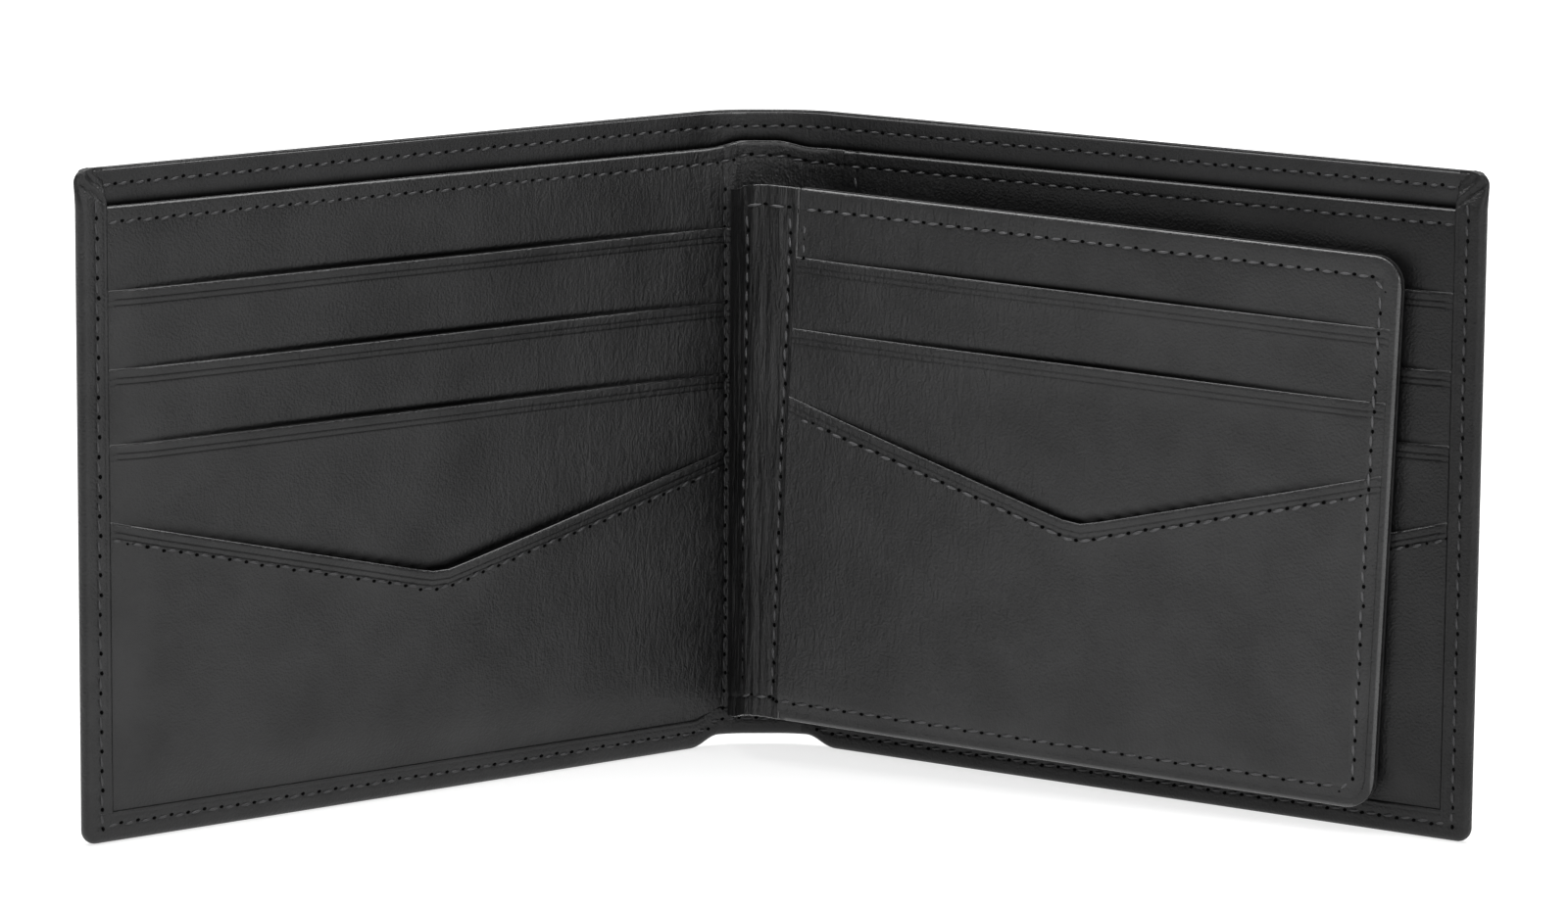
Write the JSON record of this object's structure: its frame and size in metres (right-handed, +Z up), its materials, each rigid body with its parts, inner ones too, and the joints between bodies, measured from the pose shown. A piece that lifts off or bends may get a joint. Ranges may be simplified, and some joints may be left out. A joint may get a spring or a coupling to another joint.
{
  "type": "folding wallet",
  "caption": "Black leather bifold wallet standing open in a V, with stepped card slots, V-cut pockets and a hinged card flap between its halves.",
  "frame": {"origin": "centre of the footprint's bounding box, on the surface the wallet stands on", "axes": "+X from the left half to the right half, +Z up along the spine, the inside of the wallet faces -Y"},
  "size_m": [0.1832, 0.062, 0.089],
  "materials": {
    "shell_leather": "smooth semi-gloss",
    "panel_leather": "smooth semi-gloss",
    "lining": "fine woven",
    "thread": "waxed thread",
    "window_film": "clear film",
    "stiffener": "fibre board"
  },
  "bodies": {
    "left_half": {"outer_shell_left": "shell_leather", "bill_lining_left": "lining", "bill_divider_left": "panel_leather", "card_backing_left": "panel_leather", "card_fabric_left": "lining", "card_slot_1_left": "panel_leather", "card_slot_2_left": "panel_leather", "card_slot_3_left": "panel_leather", "v_pocket_left": "panel_leather", "border_seam_left": "thread", "panel_seams_left": "thread"},
    "crease_left": {"outer_shell_crease_left": "shell_leather", "bill_lining_crease_left": "lining"},
    "spine": {"outer_shell_spine": "shell_leather", "bill_lining_spine": "lining", "bill_divider_spine": "panel_leather"},
    "crease_right": {"outer_shell_crease_right": "shell_leather", "bill_lining_crease_right": "lining"},
    "right_half": {"outer_shell_right": "shell_leather", "bill_lining_right": "lining", "bill_divider_right": "panel_leather", "card_backing_right": "panel_leather", "card_fabric_right": "lining", "card_slot_1_right": "panel_leather", "card_slot_2_right": "panel_leather", "card_slot_3_right": "panel_leather", "v_pocket_right": "panel_leather", "border_seam_right": "thread", "panel_seams_right": "thread"},
    "flap": {"flap_window_frame": "panel_leather", "flap_window_film": "window_film", "flap_back_lining": "lining", "flap_stiffener": "stiffener", "flap_backing": "panel_leather", "flap_slot_1": "panel_leather", "flap_slot_2": "panel_leather", "flap_v_pocket": "panel_leather", "flap_front_seams": "thread", "flap_back_seam": "thread", "flap_strip": "panel_leather"}
  },
  "joints": [
    {"name": "fold_shut", "type": "hinge", "parent": "left_half", "child": "flap", "pos_m": [-0.00584, 0.02092, 0], "axis": [0, 0, -1], "range_deg": [0, 115.6], "deforming": ["flap_strip"]},
    {"name": "crease_left_outer", "type": "hinge", "parent": "left_half", "child": "crease_left", "pos_m": [-0.00781, 0.02901, 0], "axis": [0, 0, -1], "range_deg": [0, 54.81]},
    {"name": "fold_open", "type": "hinge", "parent": "crease_left", "child": "spine", "pos_m": [-0.004, 0.03022, 0], "axis": [0, 0, 1], "range_deg": [0, 90], "deforming": ["bill_divider_spine"]},
    {"name": "crease_right_inner", "type": "hinge", "parent": "spine", "child": "crease_right", "pos_m": [0.004, 0.03022, 0], "axis": [0, 0, 1], "range_deg": [0, 90.01]},
    {"name": "crease_right_outer", "type": "hinge", "parent": "crease_right", "child": "right_half", "pos_m": [0.00781, 0.02901, 0], "axis": [0, 0, -1], "range_deg": [0, 54.81]}
  ],
  "couplings": [
    {"joint": "crease_left_outer", "follows": "fold_shut", "ratio": 0.47405},
    {"joint": "crease_right_outer", "follows": "fold_shut", "ratio": 0.47405},
    {"joint": "crease_right_inner", "follows": "fold_open", "ratio": 1}
  ]
}
